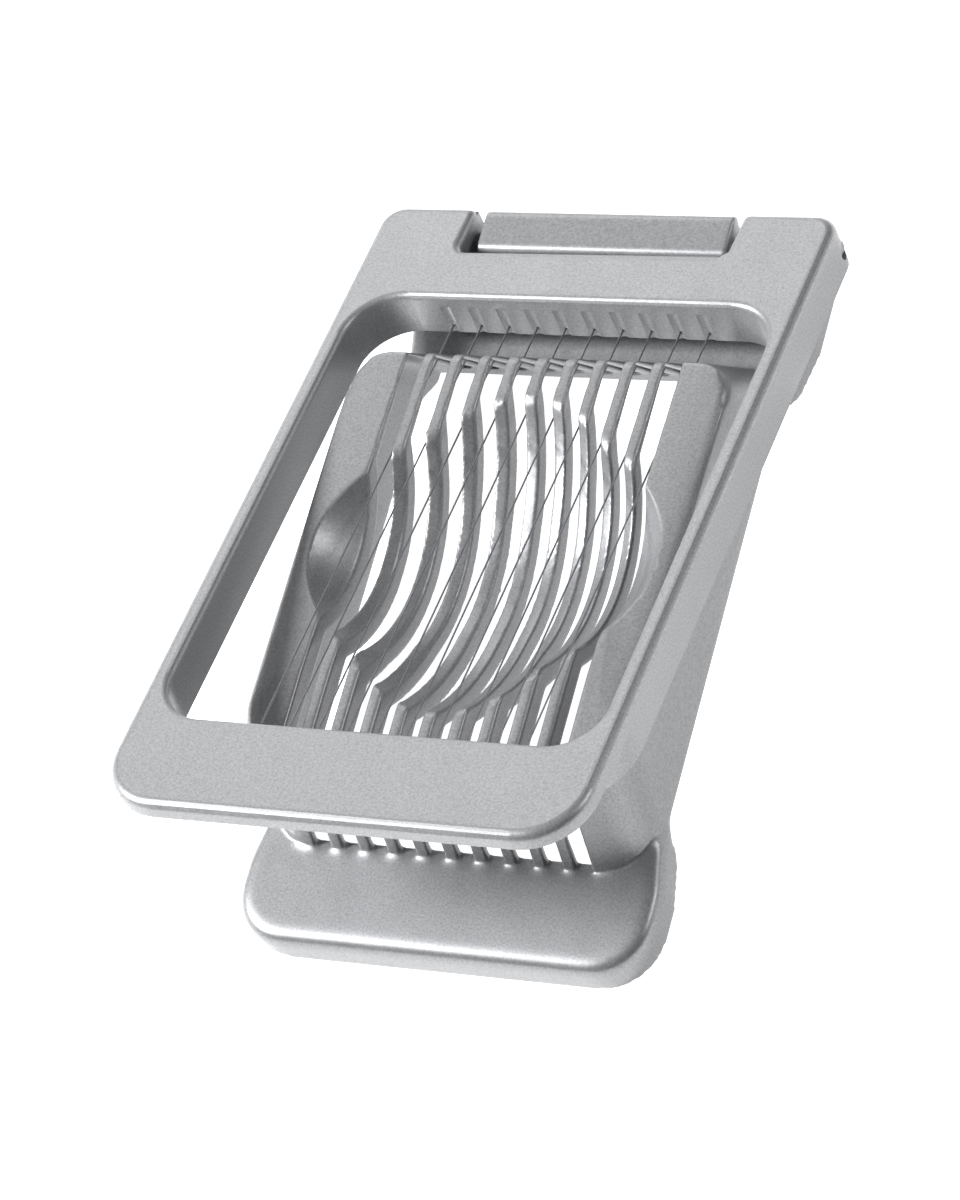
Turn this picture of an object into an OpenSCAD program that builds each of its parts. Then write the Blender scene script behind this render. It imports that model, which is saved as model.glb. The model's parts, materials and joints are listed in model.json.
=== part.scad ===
// Egg slicer: a cast base with a slotted egg cradle, and a hinged frame strung with cutting wires.
// Frame: +Z up, +Y towards the hinge, X across. The origin lies on the table, in the middle of the
// base's width and length. The frame is drawn a little open.

/* [Egg hollow] */
// Depth of the crosswise lobe below the cradle's top
hollow_depth = 14.5; // [11:0.1:18]
// How much shallower the lengthwise lobe is
long_rise = 0.4; // [0.2:0.1:3]
// Half width of each lobe at its middle, at the cradle's top
hollow_half_w = 23.2; // [19:0.1:25]
// Reach of the crosswise lobe from the middle to its tip
cross_reach = 31; // [27:0.1:38]
// Reach of the lengthwise lobe from the middle to its tip
long_reach = 28.4; // [25:0.1:35]
// Thickness of the ribs under the hollow
hollow_skin = 2.8; // [2:0.1:3.4]

/* [Cradle] */
// Metal left between the crosswise lobe's tip and the flank
flank_margin = 1.8; // [1.2:0.1:6]
// Length of cradle top ahead of the hollow
front_margin = 8.9; // [6:0.1:20]
// Length of cradle top behind the hollow
back_margin = 5.3; // [4:0.1:12]
// How far the closed wires pass below the bottom of the hollow
cut_through = 1.6; // [1:0.1:3]
// How far each end wall leans out between the cradle's top and the foot
end_lean = 7.2; // [4:0.1:9]
// Thickness of the cast walls
wall_t = 2.6; // [2:0.1:3.2]
// Thickness of the cradle's two end walls
end_wall_t = 1.6; // [1.2:0.1:2.6]
// Depth of the straight part of each rib
rib_depth = 3.8; // [3:0.1:5]
// Corner radius at the front of the cradle, in plan
front_corner_r = 9; // [7:0.5:12]
// Corner radius at the back of the cradle, in plan
back_corner_r = 6; // [5:0.5:9]
// Rounding of the cradle's top edge
top_edge_r = 3.2; // [2:0.1:4]

/* [Cutting wires] */
// Distance between neighbouring wires
wire_pitch = 5; // [4.1:0.1:6]
// Thickness of a wire
wire_d = 0.3; // [0.25:0.05:0.6]
// Width of the slot that each wire drops into
slot_w = 2.9; // [2:0.1:3.2]
// How deep the slots bite into the top of the feet
slot_bite = 0.3; // [0.2:0.1:1]
// Height of the wires below the hinge axis when the frame is closed
wire_drop = 1.5; // [1.2:0.1:1.6]
// Clearance of a wire in its hole, all round
wire_hole_gap = 0.1; // [0.05:0.05:0.2]
// Diameter of the crimped sleeve at each wire's end
sleeve_d = 1.8; // [1.4:0.1:2.2]
// Length of the crimped sleeve
sleeve_l = 2.2; // [1.5:0.1:3]

/* [Feet] */
// Height of the feet
foot_h = 6.5; // [5:0.1:7]
// How far the feet stand out beyond the flanks
foot_side = 2.6; // [1:0.1:3]
// Length of the front foot, ahead of the cradle's front wall
front_foot_l = 15.8; // [12:0.1:24]
// Length of the rear foot behind the hinge axis
rear_foot_l = 4.3; // [4:0.1:8]
// Length over which a foot tapers in to the flank
foot_taper = 13; // [8:1:20]
// Corner radius of the front foot, in plan
front_foot_r = 9; // [6:0.5:12]
// Corner radius of the rear foot, in plan
rear_foot_r = 6; // [4:0.5:8]
// Rounding of the feet's top edge
foot_edge_r = 2; // [1:0.1:2.5]
// Thickness of the feet's top skin
foot_skin = 2.4; // [2:0.1:3.5]
// Height of the arch under each flank
flank_lift = 3.3; // [1:0.1:4]
// Length over which that arch slopes down to each foot
flank_sweep = 7; // [3:0.5:9]

/* [Hinge] */
// Diameter of the hinge pin
pin_d = 3; // [2:0.1:3.6]
// Running clearance of the pin in the knuckle, all round
pin_gap = 0.05; // [0.02:0.01:0.1]
// How far each pin end lies inside the frame's side
pin_recess = 0.8; // [0.2:0.1:2]
// Width of the knuckle on the base
knuckle_w = 44; // [30:0.5:54]
// Gap between the knuckle and each ear of the frame
knuckle_side_gap = 1.7; // [0.5:0.1:2]
// Metal of the knuckle before and behind the pin
knuckle_wall = 2.4; // [1.6:0.1:3]
// Metal of the knuckle above the pin
knuckle_roof = 2.5; // [1.6:0.1:3]
// Rounding of the knuckle's top edges
knuckle_edge_r = 1.4; // [0.5:0.1:1.8]
// Gap between the knuckle's corners and the frame's notch as the frame swings
notch_gap = 1.4; // [0.4:0.1:2]
// Metal of the frame's ears behind the pin
ear_wall = 1.2; // [1:0.1:2]
// Metal of the frame's ears below the pin
ear_floor = 1.3; // [1.1:0.1:2]
// Gap between the feet and the frame's underside when it is closed
closed_gap = 0.8; // [0.4:0.1:2]

/* [Cutter frame] */
// Width of the frame's side rails
rail_w = 3.4; // [2.6:0.1:6]
// Gap between each rail and the cradle's flank
rail_gap = 3.9; // [1:0.1:5]
// Height of the frame's top above the hinge axis when it is closed
frame_rise = 5.3; // [5:0.1:6.4]
// Gap between the cradle's front wall and the frame at the frame's underside
front_gap = 0.8; // [0.5:0.1:2]
// Backward lean of the opening's front wall from underside to top
opening_lean = 1.9; // [0:0.1:3]
// Thickness of the frame's front wall, which holds the wires
front_wall_t = 2.9; // [2.4:0.1:4]
// Length of the finger lip ahead of the front wall
lip_l = 12.2; // [8:0.1:20]
// Thickness of the finger lip
lip_t = 3; // [2:0.1:3.5]
// Gap between the foot of the cradle's back wall and the frame's back bar
back_gap = 2.1; // [0.8:0.1:4]
// Length of the pocket that holds the back sleeves
pocket_l = 4.4; // [3.4:0.1:6]
// Thickness of the wall between the opening and the sleeve pocket
back_wall_t = 3.2; // [2.4:0.1:3.6]
// Thickness of the wall between the knuckle notch and the sleeve pocket
notch_wall_t = 2.6; // [2:0.1:2.8]
// Corner radius of the lip, in plan
lip_corner_r = 10; // [6:0.5:12]
// Corner radius of the frame's ears, in plan
ear_corner_r = 4; // [3:0.5:6]
// Corner radius at the front of the opening
opening_front_r = 8; // [5:0.5:11]
// Corner radius at the back of the opening
opening_back_r = 8.5; // [5:0.5:9]
// Rounding of the frame's outer top edge
frame_edge_r = 1.5; // [0.8:0.1:2]
// Radius of the shallow flute over each wire in the opening's back wall
flute_r = 1.8; // [1:0.1:2.2]
// Depth of that flute
flute_depth = 0.25; // [0.1:0.05:0.6]
// Plain band left above the flutes
flute_band = 2.4; // [1.5:0.1:4]

/* [Pose] */
// Opening angle that the frame is drawn at
open_angle = 14.4; // [0:0.1:98]

/* [Hidden] */
$fn = 64;
HULL_FN = 32;
EDGE_FN = 24;
OPENING_FN = 64;
CUT = 1;
THIN = 0.01;
// Number of cutting wires, each a piece of its own in the list below
wire_count = 10;
// Share of a foot's taper that lies beside the cradle
FRONT_SHARE = 0.8;
BACK_SHARE = 0.5;

half_w = cross_reach + flank_margin;
foot_half_w = half_w + foot_side;

// Hinge and frame sections, measured from the hinge axis.
ear_back = pin_d / 2 + ear_wall;
frame_drop = pin_d / 2 + ear_floor;
knuckle_half_l = pin_d / 2 + knuckle_wall;
knuckle_rise = pin_d / 2 + knuckle_roof;
notch_l = norm([knuckle_half_l, knuckle_rise]) + notch_gap;
back_bar_l = notch_l + notch_wall_t + pocket_l + back_wall_t;

// Heights above the table.
hinge_h = foot_h + closed_gap + frame_drop;
closed_wire_z = hinge_h - wire_drop;
cradle_h = closed_wire_z + cut_through + hollow_depth;

// Stations along Y, measured from the middle of the hollow.
top_back_y = long_reach + back_margin;
top_front_y = -long_reach - front_margin;
wall_front_y = top_front_y - end_lean;
wall_back_y = top_back_y + end_lean;
base_front_y = wall_front_y - front_foot_l;
hinge_y = wall_back_y + back_gap + back_bar_l;
base_back_y = hinge_y + rear_foot_l;
base_mid_y = (base_front_y + base_back_y) / 2;
foot_waist_front_y = wall_front_y + foot_taper * FRONT_SHARE;
foot_waist_back_y = wall_back_y - foot_taper * BACK_SHARE;

// Radius of the arc that spans a half chord and is a given depth deep.
function arc_r(half_chord, depth) = (pow(half_chord, 2) + pow(depth, 2)) / (2 * depth);

// Frame, in its own coordinates: origin on the hinge axis, closed position level.
frame_half_w = half_w + rail_gap + rail_w;
opening_half_w = half_w + rail_gap;
opening_low_y = wall_front_y - front_gap - hinge_y;
opening_top_y = opening_low_y + opening_lean;
front_wall_y = opening_low_y - front_wall_t;
frame_front_y = front_wall_y - lip_l;
pocket_front_y = -back_bar_l + back_wall_t;
pocket_back_y = -notch_l - notch_wall_t;
notch_half_w = knuckle_w / 2 + knuckle_side_gap;
frame_h = frame_rise + frame_drop;
wire_row_half = (wire_count - 1) * wire_pitch / 2;
wire_front_y = front_wall_y - sleeve_l;
wire_back_y = pocket_front_y + sleeve_l;
function wire_x(i) = i * wire_pitch - wire_row_half;

// Upright post with a rounded top edge: the corner of a rounded block.
module soft_post(x, y, r, edge, z0, z1) {
    translate([x, y, z0]) cylinder(r = r, h = z1 - edge - z0, $fn = HULL_FN);
    translate([x, y, z1 - edge])
        rotate_extrude($fn = HULL_FN) translate([r - edge, 0]) circle(r = edge, $fn = EDGE_FN);
}

// Mirrored pair of corner posts.
module post_pair(x, y, r, edge, z0, z1) {
    for (side = [-1, 1]) soft_post(side * (x - r), y, r, edge, z0, z1);
}

// Flat outline with round corners: r0 at the front, r1 at the back.
module outline(half, y0, y1, r0, r1) {
    polygon([
        [-half, y0 + r0], [-half + r0, y0], [half - r0, y0], [half, y0 + r0],
        [half, y1 - r1], [half - r1, y1], [-half + r1, y1], [-half, y1 - r1]
    ]);
    for (side = [-1, 1]) {
        translate([side * (half - r0), y0 + r0]) circle(r = r0);
        translate([side * (half - r1), y1 - r1]) circle(r = r1);
    }
}

// Solid of one lobe of the hollow, its long axis along X, grown outwards by grow. Its girth is an
// arc across, and its length is a flatter arc turned about the axis above the cradle.
module lobe(reach, depth, grow) {
    girth_r = arc_r(hollow_half_w, depth);
    length_r = arc_r(reach, depth);
    keep = length_r + grow + CUT;
    translate([0, 0, cradle_h + girth_r - depth]) rotate([0, 90, 0]) rotate_extrude() intersection() {
        translate([girth_r - length_r, 0]) circle(r = length_r + grow, $fn = 128);
        translate([0, -keep]) square([keep, 2 * keep]);
    }
}

// Both lobes in place, as wide as grow makes them.
module egg_space(grow) {
    lobe(cross_reach, hollow_depth, grow);
    rotate([0, 0, 90]) lobe(long_reach, hollow_depth - long_rise, grow);
}

// Cradle block, its end walls leaning out towards the feet.
module cradle_block() {
    edge_z = cradle_h - top_edge_r - THIN;
    hull() {
        post_pair(half_w, top_front_y + front_corner_r, front_corner_r, top_edge_r, edge_z, cradle_h);
        post_pair(half_w, top_back_y - back_corner_r, back_corner_r, top_edge_r, edge_z, cradle_h);
        for (side = [-1, 1]) {
            translate([side * (half_w - front_corner_r), wall_front_y + front_corner_r, foot_h - CUT])
                cylinder(r = front_corner_r, h = CUT, $fn = HULL_FN);
            translate([side * (half_w - back_corner_r), wall_back_y - back_corner_r, foot_h - CUT])
                cylinder(r = back_corner_r, h = CUT, $fn = HULL_FN);
        }
    }
    linear_extrude(foot_h) outline(half_w, wall_front_y, wall_back_y, front_corner_r, back_corner_r);
}

// Space under the cradle, inside its walls and below the straight ribs.
module cradle_cavity() {
    front_r = front_corner_r - wall_t;
    back_r = back_corner_r - wall_t;
    in_half = half_w - wall_t;
    roof = cradle_h - rib_depth;
    roof_lean = end_lean * (roof - foot_h) / (cradle_h - foot_h);
    front_y = wall_front_y + end_wall_t + front_r;
    back_y = wall_back_y - end_wall_t - back_r;
    hull() {
        for (side = [-1, 1]) {
            translate([side * (in_half - front_r), front_y, -CUT])
                cylinder(r = front_r, h = foot_h + CUT, $fn = HULL_FN);
            translate([side * (in_half - back_r), back_y, -CUT])
                cylinder(r = back_r, h = foot_h + CUT, $fn = HULL_FN);
            translate([side * (in_half - front_r), front_y + roof_lean, roof - THIN])
                cylinder(r = front_r, h = THIN, $fn = HULL_FN);
            translate([side * (in_half - back_r), back_y - roof_lean, roof - THIN])
                cylinder(r = back_r, h = THIN, $fn = HULL_FN);
        }
    }
}

// Front foot, tapering in to the flanks.
module front_foot() {
    hull() {
        post_pair(foot_half_w, base_front_y + front_foot_r, front_foot_r, foot_edge_r, 0, foot_h);
        post_pair(foot_half_w, foot_waist_front_y - foot_taper, front_foot_r / 2, foot_edge_r, 0, foot_h);
        post_pair(half_w, foot_waist_front_y, front_foot_r / 2, foot_edge_r, 0, foot_h);
    }
}

// Rear foot, which carries the hinge knuckle.
module rear_foot() {
    hull() {
        post_pair(half_w, foot_waist_back_y, rear_foot_r / 2, foot_edge_r, 0, foot_h);
        post_pair(foot_half_w, foot_waist_back_y + foot_taper, rear_foot_r / 2, foot_edge_r, 0, foot_h);
        post_pair(foot_half_w, base_back_y - rear_foot_r, rear_foot_r, foot_edge_r, 0, foot_h);
    }
}

// Hinge knuckle: a block with round top edges, standing on the rear foot.
module knuckle() {
    top_z = hinge_h + knuckle_rise;
    translate([-knuckle_w / 2, hinge_y, 0]) rotate([90, 0, 90]) linear_extrude(knuckle_w) {
        translate([-knuckle_half_l, foot_h - CUT])
            square([2 * knuckle_half_l, top_z - knuckle_edge_r - foot_h + CUT]);
        translate([-knuckle_half_l + knuckle_edge_r, foot_h])
            square([2 * (knuckle_half_l - knuckle_edge_r), top_z - foot_h]);
        for (side = [-1, 1])
            translate([side * (knuckle_half_l - knuckle_edge_r), top_z - knuckle_edge_r])
                circle(r = knuckle_edge_r);
    }
}

// Hollow under both feet, one space with the one under the cradle. It leaves the skin and the rim.
module foot_pockets() {
    translate([0, 0, -CUT]) linear_extrude(foot_h - foot_skin + CUT)
        outline(half_w - wall_t, base_front_y + wall_t, base_back_y - wall_t,
            front_foot_r - wall_t, rear_foot_r - wall_t);
}

// Shallow arch under both flanks, between the feet.
module flank_arch() {
    translate([-foot_half_w - CUT, 0, 0]) rotate([90, 0, 90]) linear_extrude(2 * (foot_half_w + CUT))
        polygon([
            [foot_waist_front_y - flank_sweep, -CUT],
            [foot_waist_front_y, flank_lift],
            [foot_waist_back_y, flank_lift],
            [foot_waist_back_y + flank_sweep, -CUT]
        ]);
}

// Slots that the wires drop into, right through both end walls.
module wire_slots() {
    for (i = [0 : wire_count - 1])
        translate([wire_x(i) - slot_w / 2, wall_front_y - slot_bite, foot_h - slot_bite])
            cube([slot_w, wall_back_y - wall_front_y + 2 * slot_bite, cradle_h]);
}

module base() {
    color([0.62, 0.62, 0.63]) translate([0, -base_mid_y, 0]) difference() {
        union() {
            cradle_block();
            front_foot();
            rear_foot();
            knuckle();
        }
        difference() {
            cradle_cavity();
            egg_space(hollow_skin);
        }
        egg_space(0);
        foot_pockets();
        flank_arch();
        wire_slots();
        translate([-foot_half_w, hinge_y, hinge_h])
            rotate([0, 90, 0]) cylinder(r = pin_d / 2 + pin_gap, h = 2 * foot_half_w);
    }
}

// Puts a child drawn in the closed, hinge-centred frame into its open place.
module on_frame() {
    translate([0, hinge_y - base_mid_y, hinge_h]) rotate([-open_angle, 0, 0]) children();
}

// Rounded slab that the frame is cut from.
module frame_blank() {
    lip_y = frame_front_y + lip_corner_r;
    ear_y = ear_back - ear_corner_r;
    hull() {
        post_pair(frame_half_w, lip_y, lip_corner_r, frame_edge_r, -frame_drop, frame_rise);
        post_pair(frame_half_w, ear_y, ear_corner_r, frame_edge_r, -frame_drop, frame_rise);
    }
}

// Full-height ring together with the thin lip ahead of it.
module frame_reach() {
    ring_r = opening_front_r + rail_w;
    translate([0, 0, -frame_drop - CUT]) linear_extrude(frame_h + 2 * CUT)
        outline(frame_half_w + THIN, front_wall_y, ear_back + CUT, ring_r, THIN);
    translate([-frame_half_w - CUT, frame_front_y - CUT, frame_rise - lip_t])
        cube([2 * (frame_half_w + CUT), lip_l + ring_r + CUT, lip_t + CUT]);
}

// Window in the frame, its front wall leaning with the cradle's.
module frame_opening() {
    low_z = -frame_drop - THIN;
    front_x = opening_half_w - opening_front_r;
    back_x = opening_half_w - opening_back_r;
    hull() {
        for (side = [-1, 1]) {
            translate([side * back_x, -back_bar_l - opening_back_r, low_z])
                cylinder(r = opening_back_r, h = frame_h + 2 * THIN, $fn = OPENING_FN);
            translate([side * front_x, opening_low_y + opening_front_r, low_z])
                cylinder(r = opening_front_r, h = THIN, $fn = OPENING_FN);
            translate([side * front_x, opening_top_y + opening_front_r, frame_rise])
                cylinder(r = opening_front_r, h = THIN, $fn = OPENING_FN);
        }
    }
}

// Clears the frame's lower back corner to a round about the hinge pin.
module ear_round() {
    reach = ear_back + CUT;
    translate([-frame_half_w - CUT, 0, 0]) rotate([90, 0, 90]) linear_extrude(2 * (frame_half_w + CUT))
        difference() {
            translate([0, -reach - CUT]) square(reach + CUT);
            circle(r = ear_back);
        }
}

module cutter_frame() {
    color([0.74, 0.75, 0.76]) on_frame() difference() {
        intersection() {
            frame_blank();
            frame_reach();
        }
        frame_opening();
        ear_round();
        // knuckle notch
        translate([-notch_half_w, -notch_l, -frame_drop - CUT])
            cube([2 * notch_half_w, notch_l + ear_back + CUT, frame_h + 2 * CUT]);
        // pocket for the back sleeves
        translate([-wire_row_half - sleeve_d, pocket_front_y, -frame_drop - CUT])
            cube([2 * (wire_row_half + sleeve_d), pocket_back_y - pocket_front_y, frame_h - lip_t + CUT]);
        // pin holes in both ears
        translate([-frame_half_w - CUT, 0, 0])
            rotate([0, 90, 0]) cylinder(r = pin_d / 2, h = 2 * (frame_half_w + CUT));
        // wire holes in both walls, and a flute over each wire
        for (i = [0 : wire_count - 1]) {
            translate([wire_x(i), front_wall_y - CUT, -wire_drop]) rotate([-90, 0, 0])
                cylinder(r = wire_d / 2 + wire_hole_gap, h = pocket_front_y - front_wall_y + 2 * CUT);
            translate([wire_x(i), -back_bar_l - flute_r + flute_depth, -frame_drop - CUT])
                cylinder(r = flute_r, h = frame_h - flute_band + CUT);
        }
    }
}

module hinge_pin() {
    pin_half = frame_half_w - pin_recess;
    color([0.5, 0.5, 0.52]) on_frame()
        translate([-pin_half, 0, 0]) rotate([0, 90, 0]) cylinder(r = pin_d / 2, h = 2 * pin_half);
}

// Row of crimped sleeves, each with a hole for its wire.
module sleeve_row(y) {
    for (i = [0 : wire_count - 1])
        translate([wire_x(i), y, -wire_drop]) rotate([-90, 0, 0]) difference() {
            cylinder(r = sleeve_d / 2, h = sleeve_l);
            translate([0, 0, -CUT]) cylinder(r = wire_d / 2, h = sleeve_l + 2 * CUT);
        }
}

module front_sleeves() {
    color([0.78, 0.76, 0.7]) on_frame() sleeve_row(wire_front_y);
}

module back_sleeves() {
    color([0.78, 0.76, 0.7]) on_frame() sleeve_row(pocket_front_y);
}

// Cutting wire number i, from the front sleeve to the back one.
module wire(i) {
    color([0.45, 0.46, 0.48]) on_frame()
        translate([wire_x(i), wire_front_y, -wire_drop])
            rotate([-90, 0, 0]) cylinder(r = wire_d / 2, h = wire_back_y - wire_front_y);
}

base();
cutter_frame();
hinge_pin();
front_sleeves();
back_sleeves();
wire(0);  // wire_01
wire(1);  // wire_02
wire(2);  // wire_03
wire(3);  // wire_04
wire(4);  // wire_05
wire(5);  // wire_06
wire(6);  // wire_07
wire(7);  // wire_08
wire(8);  // wire_09
wire(9);  // wire_10
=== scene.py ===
# %% [markdown]
# ## A cast egg slicer
# The real tool is two die-cast aluminium pieces, a base with a ribbed cradle and a frame strung
# with steel wires, joined by one hinge pin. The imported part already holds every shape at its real
# size, so this script dresses it: it rounds the sharp edges of the castings, gives each piece a
# finish, and lights it like a product on a bright table.

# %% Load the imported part
import json
import math
import bmesh
import bpy
from mathutils import Matrix, Vector


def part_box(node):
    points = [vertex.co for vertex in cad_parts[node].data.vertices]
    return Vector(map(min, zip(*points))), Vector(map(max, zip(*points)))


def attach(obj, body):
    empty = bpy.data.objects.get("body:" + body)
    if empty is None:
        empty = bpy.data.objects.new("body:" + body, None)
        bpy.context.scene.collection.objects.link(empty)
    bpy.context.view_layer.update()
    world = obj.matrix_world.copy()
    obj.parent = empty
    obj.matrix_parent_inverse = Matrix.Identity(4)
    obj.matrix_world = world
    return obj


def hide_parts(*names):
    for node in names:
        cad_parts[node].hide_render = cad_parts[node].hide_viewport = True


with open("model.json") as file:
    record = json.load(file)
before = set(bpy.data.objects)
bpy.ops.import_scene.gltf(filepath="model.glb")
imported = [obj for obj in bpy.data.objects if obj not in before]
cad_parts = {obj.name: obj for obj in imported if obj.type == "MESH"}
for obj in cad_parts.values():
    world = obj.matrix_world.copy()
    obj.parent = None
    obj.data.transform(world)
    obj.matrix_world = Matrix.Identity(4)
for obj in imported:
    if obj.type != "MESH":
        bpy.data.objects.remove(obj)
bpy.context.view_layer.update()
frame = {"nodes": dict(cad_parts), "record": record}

nodes = frame["nodes"]
print("nodes:", sorted(nodes))

# %% [markdown]
# ## Small helpers
# Colours are written as hex codes, as a paint chart gives them, and a shader needs them linear, so
# one function converts. A second one adds a shader node with its settings and its links, which
# keeps each material down to a few readable lines. Sizes on the tool are written in millimetres,
# and the table, the lights and the camera's distance in metres.

# %% Units, colours, shader nodes and objects
MM = 0.001


def linear(code, alpha=1.0):
    """Linear RGBA of an sRGB hex colour."""
    channels = [int(code[i:i + 2], 16) / 255 for i in (1, 3, 5)]
    return [c / 12.92 if c <= 0.04045 else ((c + 0.055) / 1.055) ** 2.4 for c in channels] + [alpha]


def add_node(material, kind, settings=None, **links):
    """A shader node: settings are attributes or sockets by name, links feed sockets from nodes."""
    tree = material.node_tree
    node = tree.nodes.new(kind)
    for name, value in (settings or {}).items():
        if name in node.inputs:
            node.inputs[name].default_value = value
        else:
            setattr(node, name, value)
    for name, source in links.items():
        tree.links.new(source, node.inputs[name.replace("_", " ")])
    return node


def new_material(name):
    """An empty node material, ready for a shader and its output."""
    material = bpy.data.materials.new(name)
    material.use_nodes = True
    material.node_tree.nodes.clear()
    return material


def dress(piece, material):
    """Gives the whole piece one material."""
    piece.data.materials.clear()
    piece.data.materials.append(material)


def placed(name, data):
    """A new object in the scene that shows the given mesh, lamp or camera data."""
    thing = bpy.data.objects.new(name, data)
    bpy.context.scene.collection.objects.link(thing)
    return thing


def mesh_from(shell, name):
    """The shell as a mesh; the shell is then freed."""
    mesh = bpy.data.meshes.new(name)
    shell.to_mesh(mesh)
    shell.free()
    return mesh


print("mid grey #808080 is", round(linear("#808080")[0], 3), "in linear light")

# %% [markdown]
# ## Silver lacquer on cast aluminium
# The castings are sprayed with a silver lacquer full of fine aluminium flake. From close by it is a
# salt-and-pepper grain, from further off a satin grey. Under the spray the cast skin is slightly
# uneven, which bends long highlights a little. Two noises stand in for this: a fine one for the
# flake, which varies the colour and tips the surface so that each fleck catches the light in its
# own way, and a broad one for the cast skin. A clear coat adds the sharper, weaker reflection that
# Real flake is a few hundredths of a millimetre, too fine to see here, so it is drawn coarser. In the
# recesses, between the ribs and behind the cradle, the lacquer's tone is darkened as painted shade:
# an ambient occlusion node finds those recesses.

# %% Silver flake lacquer
FLAKE_MM, FLAKE_RELIEF_MM = 0.34, 0.03
SKIN_MM, SKIN_RELIEF_MM = 7.0, 0.25
RELIEF_STRENGTH = 0.2
# Painted shade: how far the ambient occlusion looks for walls, and the occlusion range over which the
# tone is darkened.
RECESS_MM = 11.0
PAINTED_SHADE_FROM, PAINTED_SHADE_TO = 0.15, 0.75
LACQUER_GLOSS_SPREAD = 0.05


def silver_lacquer(name, dark, light, roughness, deepest_shade_share):
    """Flake lacquer between two greys, darkened by painted shade in recesses; the last argument is
    the share of its tone left deep in a recess.
    """
    material = new_material(name)
    coords = add_node(material, "ShaderNodeTexCoord")
    grain = add_node(material, "ShaderNodeTexNoise",
                     {"Scale": 1 / (FLAKE_MM * MM), "Detail": 2.0, "Roughness": 0.6},
                     Vector=coords.outputs["Object"])
    skin = add_node(material, "ShaderNodeTexNoise",
                    {"Scale": 1 / (SKIN_MM * MM), "Detail": 2.0, "Roughness": 0.5},
                    Vector=coords.outputs["Object"])
    tone = add_node(material, "ShaderNodeValToRGB", Fac=grain.outputs["Fac"])
    for stop, position, colour in zip(tone.color_ramp.elements, (0.3, 0.7), (dark, light)):
        stop.position = position
        stop.color = linear(colour)
    # Painted shade: the tone is scaled down where ambient occlusion finds close walls.
    recess_occlusion = add_node(material, "ShaderNodeAmbientOcclusion",
                     {"samples": 8, "only_local": True, "Distance": RECESS_MM * MM})
    painted_shade = add_node(material, "ShaderNodeMapRange",
                     {"From Min": PAINTED_SHADE_FROM, "From Max": PAINTED_SHADE_TO,
                      "To Min": deepest_shade_share, "To Max": 1.0},
                     Value=recess_occlusion.outputs["AO"])
    shaded_tone = add_node(material, "ShaderNodeVectorMath", {"operation": "SCALE"},
                       Vector=tone.outputs["Color"], Scale=painted_shade.outputs["Result"])
    polish = add_node(material, "ShaderNodeMapRange",
                      {"To Min": roughness - LACQUER_GLOSS_SPREAD,
                       "To Max": roughness + LACQUER_GLOSS_SPREAD},
                      Value=skin.outputs["Fac"])
    uneven = add_node(material, "ShaderNodeBump",
                      {"Strength": RELIEF_STRENGTH, "Distance": SKIN_RELIEF_MM * MM},
                      Height=skin.outputs["Fac"])
    sparkle = add_node(material, "ShaderNodeBump",
                       {"Strength": RELIEF_STRENGTH, "Distance": FLAKE_RELIEF_MM * MM},
                       Height=grain.outputs["Fac"], Normal=uneven.outputs["Normal"])
    shader = add_node(material, "ShaderNodeBsdfPrincipled",
                      {"Metallic": 0.5, "Coat Weight": 0.2, "Coat Roughness": 0.24},
                      Base_Color=shaded_tone.outputs["Vector"], Roughness=polish.outputs["Result"],
                      Normal=sparkle.outputs["Normal"])
    add_node(material, "ShaderNodeOutputMaterial", Surface=shader.outputs["BSDF"])
    return material


# The base's recesses get much deeper painted shade than the frame's.
frame_lacquer = silver_lacquer("silver flake lacquer, frame", "#97989A", "#B4B5B7",
                               roughness=0.42, deepest_shade_share=0.8)
base_lacquer = silver_lacquer("silver flake lacquer, base", "#919294", "#AEAFB1",
                              roughness=0.4, deepest_shade_share=0.25)
print("flake drawn at, mm:", FLAKE_MM, " cast skin, mm:", SKIN_MM)

# %% [markdown]
# ## Drawn steel
# Wires, pin and sleeves are stainless steel that was pulled through a die, which leaves fine lines
# along the metal. They are thin, so the lines only show as a slight unevenness in the gloss.

# %% Drawn stainless steel
STREAK_MM = 0.8
STEEL_GLOSS_SPREAD = 0.06


def drawn_steel(name, colour, roughness):
    """Bare stainless steel with a slightly uneven gloss."""
    material = new_material(name)
    coords = add_node(material, "ShaderNodeTexCoord")
    streaks = add_node(material, "ShaderNodeTexNoise",
                       {"Scale": 1 / (STREAK_MM * MM), "Detail": 2.0},
                       Vector=coords.outputs["Object"])
    gloss = add_node(material, "ShaderNodeMapRange",
                     {"To Min": roughness - STEEL_GLOSS_SPREAD,
                      "To Max": roughness + STEEL_GLOSS_SPREAD},
                     Value=streaks.outputs["Fac"])
    shader = add_node(material, "ShaderNodeBsdfPrincipled",
                      {"Base Color": linear(colour), "Metallic": 1.0},
                      Roughness=gloss.outputs["Result"])
    add_node(material, "ShaderNodeOutputMaterial", Surface=shader.outputs["BSDF"])
    return material


wire_steel = drawn_steel("hard-drawn stainless wire", "#8E9094", 0.3)
pin_steel = drawn_steel("cropped stainless rod", "#8A8A8A", 0.35)
sleeve_steel = drawn_steel("crimped stainless tube", "#B0ADA6", 0.35)
print("steels:", wire_steel.name, "/", pin_steel.name, "/", sleeve_steel.name)

# %% [markdown]
# ## Rounding the castings
# A die-cast part has no sharp edge where a hand can reach: the die, the tumbling and the lacquer
# all round them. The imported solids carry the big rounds, on the feet and the rims, and the next
# steps add the small ones. A casting is copied, its loose triangles are merged and its flat areas
# made whole, because the bevel operator needs one clean edge where two surfaces meet. Which edges
# it rounds is then picked by short tests on an edge's place and its two faces.

# %% A casting's shell, and how its edges are rounded
MERGE = 0.004 * MM
SHARP = math.radians(27)
PLAN_STEPS, EDGE_STEPS = 5, 4


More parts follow.
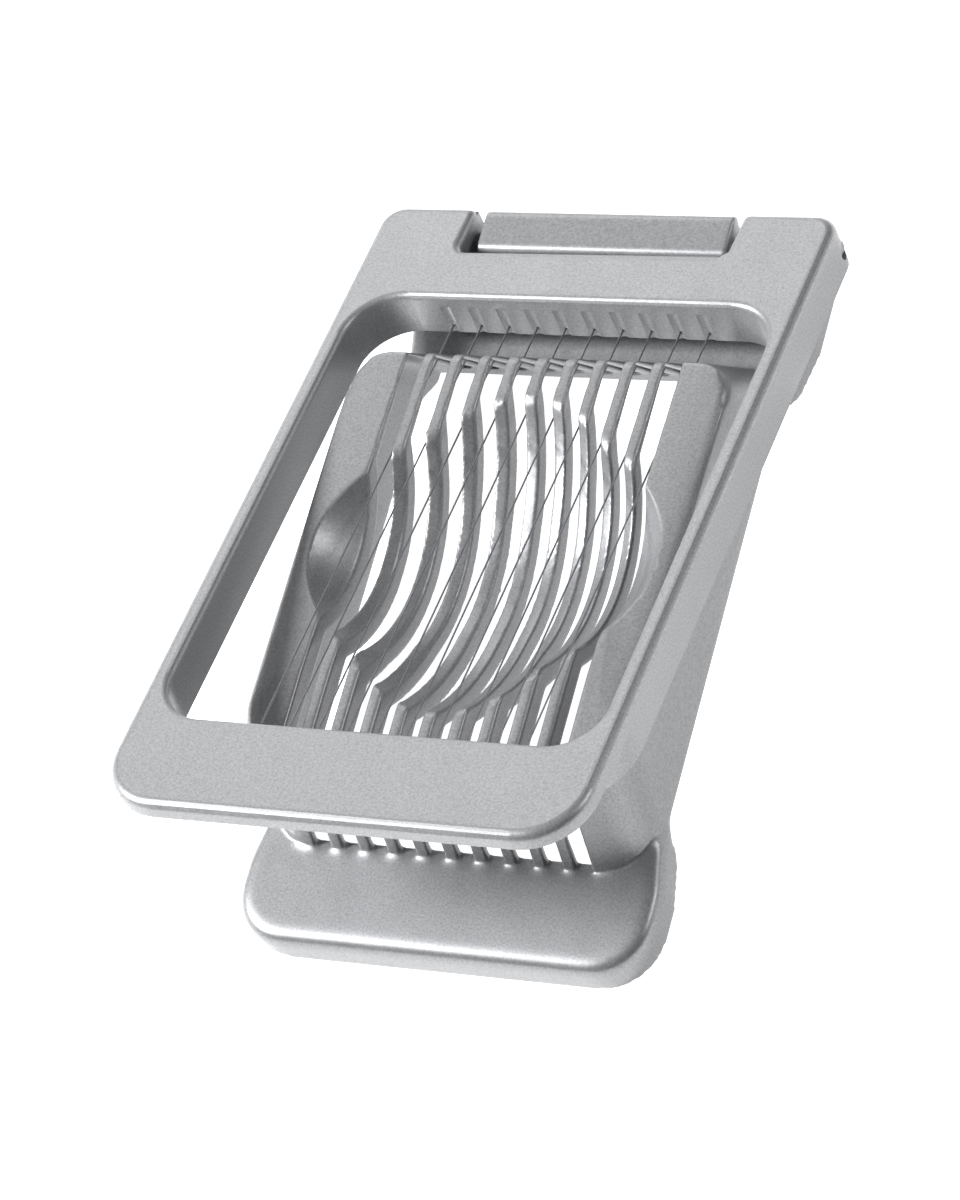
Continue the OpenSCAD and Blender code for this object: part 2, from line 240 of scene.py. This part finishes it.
def merged_shell(source, flat_angle):
    """A packed casting's mesh as one closed shell, its flat areas made whole."""
    shell = bmesh.new()
    shell.from_mesh(nodes[source].data)
    bmesh.ops.remove_doubles(shell, verts=shell.verts, dist=MERGE)
    bmesh.ops.dissolve_limit(shell, angle_limit=flat_angle, verts=shell.verts, edges=shell.edges)
    shell.normal_update()
    return shell


def outward(edge):
    """True for a clean edge between two faces that meet at an outward corner."""
    return edge.is_manifold and edge.calc_face_angle_signed() > SHARP


def round_off(shell, edges, radius, segments):
    """Bevels the edges to an arc."""
    bmesh.ops.bevel(shell, geom=edges, offset=radius, offset_type="OFFSET", segments=segments,
                    profile=0.5, affect="EDGES", clamp_overlap=False, material=-1)
    shell.normal_update()


print("edges count as sharp from, degrees:", round(math.degrees(SHARP)))

# %% [markdown]
# ## Which edges of the base are bevelled
# The ribs of the cradle are round all over, like everything that comes out of a worn die, and their
# edges run into each other at odd angles where the hollow crosses the slots, which the bevel
# operator can't join. So only the plain edges are bevelled: the cradle's outer rim, the hollow's
# rim and the knuckle. The outer rim is a clean edge only along the flanks. There it runs close to
# the hollow's two side tips, so both rims get the same small round, and the hollow's stops short of
# the tips. The ends of the ribs get no bevel, and are left to the smoothing that follows.

# %% Tests for the base's edges
pin_low, pin_high = (Vector(corner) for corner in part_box("hinge_pin"))
pin_centre = (pin_low + pin_high) / 2
KNUCKLE_REACH = 6 * MM
SHORTEST_CORNER = 2 * MM
CRADLE_TOP = 21 * MM
SLOTS_HALF = 24.5 * MM
# Shares of a unit vector along an axis: an upright edge, a face that looks along it, and a wall.
UPRIGHT, FACING, WALL = 0.99, 0.9, 0.3


def knuckle_corner(edge):
    """The four upright corners of the hinge knuckle."""
    low, high = sorted((v.co for v in edge.verts), key=lambda p: p.z)
    along = high - low
    at_knuckle = abs(low.y - pin_centre.y) < KNUCKLE_REACH
    return along.length > SHORTEST_CORNER and along.normalized().z > UPRIGHT and at_knuckle


def rim_edge(edge):
    """The rims of the cradle and the hollow, without the long edges of the slots."""
    ends = [v.co for v in edge.verts]
    ups = [face.normal.z for face in edge.link_faces]
    sideways = max(abs(face.normal.x) for face in edge.link_faces) > FACING
    on_slot_side = sideways and abs(ends[0].x) < SLOTS_HALF
    on_top = min(p.z for p in ends) > CRADLE_TOP
    return on_top and min(ups) < FACING < max(ups) and not on_slot_side


def outer_rim(edge):
    """The cradle's outer rim along its flanks, which has a wall on one side."""
    return rim_edge(edge) and min(face.normal.z for face in edge.link_faces) < WALL


def hollow_rim(edge):
    """The hollow's own rim, without the two side tips, where the flank's rim leaves it no room."""
    at_tip = max(abs(v.co.x) for v in edge.verts) > SLOTS_HALF
    return rim_edge(edge) and not outer_rim(edge) and not at_tip


print("hinge pin's centre, mm:", [round(v / MM, 2) for v in pin_centre])

# %% [markdown]
# ## Melting the edges that are left
# A voxel remesh turns the bevelled base into an even net of small faces, and a few rounds of
# smoothing melt every other edge by about the same amount. The rims of the front foot and of the
# feet's outer sides are rounder on the real casting, so they get many more rounds, which stop just
# above the table so that the feet stay flat. Last, the net is thinned, because nearly flat areas
# need few faces.

# %% A net of small faces, smoothed
VOXEL = 0.33 * MM
SMOOTHING = 0.5
MELT_ROUNDS, RIM_ROUNDS = 3, 30
RIM_LOW, RIM_HIGH = 1.5 * MM, 6.8 * MM
FOOT_FRONT, FOOT_SIDE = -46 * MM, 31.5 * MM
MOST_TRIANGLES = 190000


def on_foot_rim(point):
    """True on the front foot, and on the outer sides of both feet, between the two rim heights."""
    return RIM_LOW < point.z < RIM_HIGH and (point.y < FOOT_FRONT or abs(point.x) > FOOT_SIDE)


def applied(piece):
    """The piece's mesh with its modifiers applied; they are then taken off the piece."""
    graph = bpy.context.evaluated_depsgraph_get()
    mesh = bpy.data.meshes.new_from_object(piece.evaluated_get(graph))
    piece.modifiers.clear()
    return mesh


def melted(shell, name):
    """The shell remeshed to even small faces and smoothed, as a finished piece."""
    piece = placed(name, mesh_from(shell, name))
    net = piece.modifiers.new("net", "REMESH")
    net.mode = "VOXEL"
    net.voxel_size = VOXEL
    net.use_smooth_shade = True
    melt = piece.modifiers.new("melt", "SMOOTH")
    melt.factor = SMOOTHING
    melt.iterations = MELT_ROUNDS
    even = applied(piece)
    soft = bmesh.new()
    soft.from_mesh(even)
    rim = [v for v in soft.verts if on_foot_rim(v.co)]
    for _ in range(RIM_ROUNDS):
        bmesh.ops.smooth_vert(soft, verts=rim, factor=SMOOTHING,
                              use_axis_x=True, use_axis_y=True, use_axis_z=True)
    soft.to_mesh(even)
    soft.free()
    piece.data = even
    thin = piece.modifiers.new("thin", "DECIMATE")
    thin.ratio = min(1.0, MOST_TRIANGLES / (2 * len(even.polygons)))
    piece.data = applied(piece)
    print(name, "net faces:", len(even.polygons), " softened points:", len(rim),
          " triangles kept:", sum(len(face.vertices) - 2 for face in piece.data.polygons))
    return piece


print("net of, mm:", round(VOXEL / MM, 2), " rounds of smoothing:", MELT_ROUNDS)

# %% [markdown]
# ## The base
# Each kind of edge is picked afresh after the bevel before it, because a bevel replaces the edges
# that it touches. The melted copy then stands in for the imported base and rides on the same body.

# %% Base casting
KNUCKLE_ROUND, RIM_ROUND = 1.8 * MM, 1.3 * MM
BASE_FLAT = math.radians(1)

shell = merged_shell("base", BASE_FLAT)
for label, pick, radius in (("knuckle corners", knuckle_corner, KNUCKLE_ROUND),
                            ("flank rims", outer_rim, RIM_ROUND),
                            ("hollow rim", hollow_rim, RIM_ROUND)):
    edges = [edge for edge in shell.edges if outward(edge) and pick(edge)]
    round_off(shell, edges, radius, PLAN_STEPS)
    print(label, "edges:", len(edges))
base_cast = melted(shell, "base_casting")
dress(base_cast, base_lacquer)
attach(base_cast, "base_body")
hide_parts("base")

# %% [markdown]
# ## The frame
# The frame is a plainer casting, so the bevel operator alone rounds it, in two passes. The first
# rounds in plan the upright corners at the hinge, those of the ears and of the notch that the
# knuckle sits in, where a fingertip feels a fair radius. The second takes every outward edge that
# has a face turned up, all together, because the operator joins the corners cleanly only when it
# sees them in one go. Undersides stay crisp, as they do under the die's parting plane. The frame is
# packed as it stands open, so its own up leans back by the angle that its hinge can still close.
# One fault is left: the notch's inner corner on the side of positive x still comes out square.

# %% Tests for the frame's edges
hinge = frame["record"]["behaviour"]["joints"][0]
rest_angle = math.radians(-hinge["range_deg"][0])
FRAME_UP = Vector((0, math.sin(rest_angle), math.cos(rest_angle)))
PIN_ZONE = 2.4 * MM
SHORTEST_EDGE = 0.25 * MM
HINGE_REACH = 9 * MM
NOTCH_FROM = 20 * MM


def near_pin(point):
    """True beside the hinge pin's axis."""
    return math.hypot(point.y - pin_centre.y, point.z - pin_centre.z) < PIN_ZONE


def frame_keeps(edge):
    """Edges that are left sharp: those of the pin's holes, and the very short chords of arcs."""
    ends = [v.co for v in edge.verts]
    short = (ends[0] - ends[1]).length < SHORTEST_EDGE
    return short or all(near_pin(p) for p in ends)


def frame_corner(edge):
    """Upright edges of the frame at the hinge: the notch's corners and the ears' outer ones."""
    ends = [v.co for v in edge.verts]
    along = ends[1] - ends[0]
    upright = abs(along.normalized().dot(FRAME_UP)) > UPRIGHT and along.length > SHORTEST_CORNER
    at_hinge = min(p.y for p in ends) > pin_centre.y - HINGE_REACH
    return upright and at_hinge and abs(ends[0].x) > NOTCH_FROM


def notch_corner(edge):
    """The two inward corners of the notch that the knuckle sits in."""
    return edge.is_manifold and edge.calc_face_angle_signed() < -SHARP and frame_corner(edge)


print("frame stands open by, degrees:", round(math.degrees(rest_angle), 1))

# %% [markdown]
# ## Rounding the frame
# Small faces, which are those of its rounds, are shaded smooth and the large flat ones are not, and
# an edge stays crisp to the eye where its two faces still meet at a sharp angle.

# %% Frame casting
NOTCH_ROUND, FRAME_ROUND = 1.8 * MM, 1.1 * MM
FRAME_FLAT = math.radians(0.6)
UPWARD = 0.3
FLAT_AREA = 7 * MM * MM

shell = merged_shell("cutter_frame", FRAME_FLAT)
corners = [edge for edge in shell.edges
           if (outward(edge) and frame_corner(edge)) or notch_corner(edge)]
round_off(shell, corners, NOTCH_ROUND, PLAN_STEPS)
upper = [edge for edge in shell.edges if outward(edge) and not frame_keeps(edge)
         and max(face.normal.dot(FRAME_UP) for face in edge.link_faces) > UPWARD]
round_off(shell, upper, FRAME_ROUND, EDGE_STEPS)
for face in shell.faces:
    face.smooth = face.calc_area() < FLAT_AREA
for edge in shell.edges:
    edge.smooth = not edge.is_manifold or edge.calc_face_angle() < SHARP
frame_cast = placed("frame_casting", mesh_from(shell, "frame_casting"))
print("frame_casting upright corners:", len(corners), " upper edges:", len(upper))
dress(frame_cast, frame_lacquer)
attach(frame_cast, "frame_body")
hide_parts("cutter_frame")

# %% [markdown]
# ## Pin, sleeves and wires
# These are cut from round rod, tube and wire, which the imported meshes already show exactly, so they
# keep their own meshes and only get their steel.

# %% Dress the steel
dress(nodes["hinge_pin"], pin_steel)
for name in ("front_sleeves", "back_sleeves"):
    dress(nodes[name], sleeve_steel)
wires = [name for name in sorted(nodes) if name.startswith("wire_")]
for name in wires:
    dress(nodes[name], wire_steel)
print("wires dressed:", len(wires))

# %% [markdown]
# ## Light table
# The tool lies on a bright translucent table that glows a little, as a table for tracing does, so
# that the gaps between the ribs stay light. It shows in reflections, but it gives the tool no
# diffuse light, which would fill the recesses from below and make the tool look flat.

# %% Light table
TABLE_HALF = 3.0
TABLE_GLOW = 1.0

sheet = bmesh.new()
bmesh.ops.create_grid(sheet, x_segments=1, y_segments=1, size=TABLE_HALF)
table = placed("table", mesh_from(sheet, "table"))
glow = new_material("white light table")
panel = add_node(glow, "ShaderNodeBsdfPrincipled",
                 {"Base Color": linear("#F4F4F4"), "Roughness": 0.9,
                  "Emission Color": linear("#FFFFFF"), "Emission Strength": TABLE_GLOW})
add_node(glow, "ShaderNodeOutputMaterial", Surface=panel.outputs["BSDF"])
dress(table, glow)
table.visible_diffuse = False
print("table, metres across:", 2 * TABLE_HALF)

# %% [markdown]
# ## Sky and soft boxes
# Satin metal is seen by what it reflects, so three large square lights stand round the tool: the
# strong key at its left, a broad weak one behind it on the left, and a weak one at its right that
# draws the far rims. A dim white sky keeps the sides that no box reaches from going black.

# %% Sky and soft boxes
SKY_STRENGTH = 0.1
BOX_DISTANCE = 1.3

scene = bpy.context.scene
world = bpy.data.worlds.new("studio")
scene.world = world
world.use_nodes = True
sky = world.node_tree.nodes["Background"]
sky.inputs["Color"].default_value = linear("#FFFFFF")
sky.inputs["Strength"].default_value = SKY_STRENGTH


def direction(azimuth, elevation):
    """The way out from the tool, in degrees; azimuth 0 points out past the frame's lip."""
    a, e = math.radians(azimuth), math.radians(elevation)
    return Vector((math.sin(a) * math.cos(e), -math.cos(a) * math.cos(e), math.sin(e)))


def soft_box(name, azimuth, elevation, size, power):
    """A square area light that faces the tool."""
    away = direction(azimuth, elevation)
    data = bpy.data.lights.new(name, "AREA")
    data.shape = "SQUARE"
    data.size = size
    data.energy = power
    turned = away.to_track_quat("Z", "Y").to_matrix().to_4x4()
    placed(name, data).matrix_world = Matrix.Translation(away * BOX_DISTANCE) @ turned
    print(name, "metres across:", size, " watts:", power)


soft_box("key box", azimuth=-74, elevation=43, size=0.4, power=26)
soft_box("top box", azimuth=-150, elevation=30, size=0.7, power=3.2)
soft_box("rim box", azimuth=114, elevation=28, size=0.4, power=4)

# %% [markdown]
# ## Camera
# The camera looks down from the front right with a long lens, turned a little about its own axis so
# that the tool stands upright in a tall picture.

# %% Camera
AIM = Vector((-9.1, -2.29, 4.3)) * MM
AZIMUTH, ELEVATION, ROLL = 52.34, 53.1, -42.39
DISTANCE = 0.770
LENS_MM, SENSOR_MM = 148.8, 36.0

back = direction(AZIMUTH, ELEVATION)
level = Vector((0, 0, 1)).cross(back).normalized()
upright = back.cross(level)
turn = math.radians(ROLL)
right = level * math.cos(turn) + upright * math.sin(turn)
up = upright * math.cos(turn) - level * math.sin(turn)
lens = bpy.data.cameras.new("camera")
lens.sensor_fit = "VERTICAL"
lens.sensor_height = SENSOR_MM
lens.lens = LENS_MM
camera = placed("camera", lens)
axes = Matrix((right, up, back)).transposed().to_4x4()
camera.matrix_world = Matrix.Translation(AIM + back * DISTANCE) @ axes
scene.camera = camera
scene.view_settings.view_transform = "Standard"
print("camera at, mm:", [round(v * 1000) for v in camera.matrix_world.translation])
